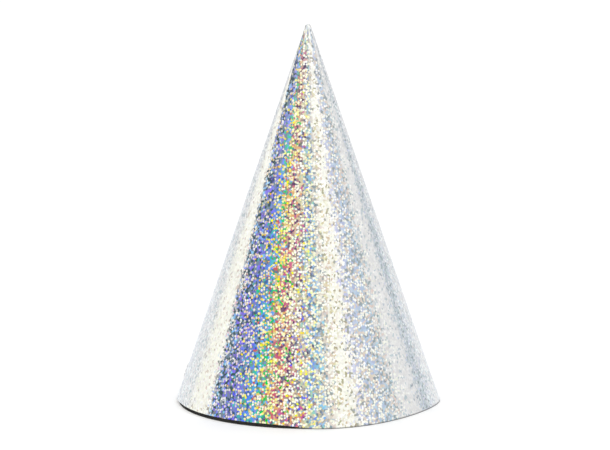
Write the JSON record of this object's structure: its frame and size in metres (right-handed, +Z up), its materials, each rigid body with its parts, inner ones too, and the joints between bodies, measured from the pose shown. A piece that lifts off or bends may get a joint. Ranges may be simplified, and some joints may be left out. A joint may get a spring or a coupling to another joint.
{
  "type": "cone party hat",
  "caption": "Pointed cone party hat of rolled card with a silver holographic film outside, standing on its open rim, with a chin elastic threaded through its sides.",
  "frame": {"origin": "middle of the open rim, on the table the hat stands on", "axes": "+Z up to the tip, -Y to the front, +X to the right as seen from the front; the glued seam is at the back, +Y"},
  "size_m": [0.1098, 0.1097, 0.1574],
  "materials": {
    "holographic_film": "metallised holographic film broken into small facets that throw rainbow bands along the cone",
    "white_card": "uncoated matte white paperboard",
    "adhesive": "thin translucent adhesive strip",
    "elastic": "white covered elastic cord",
    "barb_steel": "bright pressed steel"
  },
  "bodies": {
    "root": {"card_cone": "white_card", "holographic_film": "holographic_film", "seam_tape": "adhesive", "barb_left": "barb_steel", "barb_right": "barb_steel"},
    "chin_elastic": {"elastic_cord": "elastic"}
  },
  "joints": [
    {"name": "chin_elastic_swing", "type": "hinge", "parent": "root", "child": "chin_elastic", "pos_m": [0, 0.0125, 0.0095], "axis": [1, 0, 0], "range_deg": [-108, 145]}
  ]
}
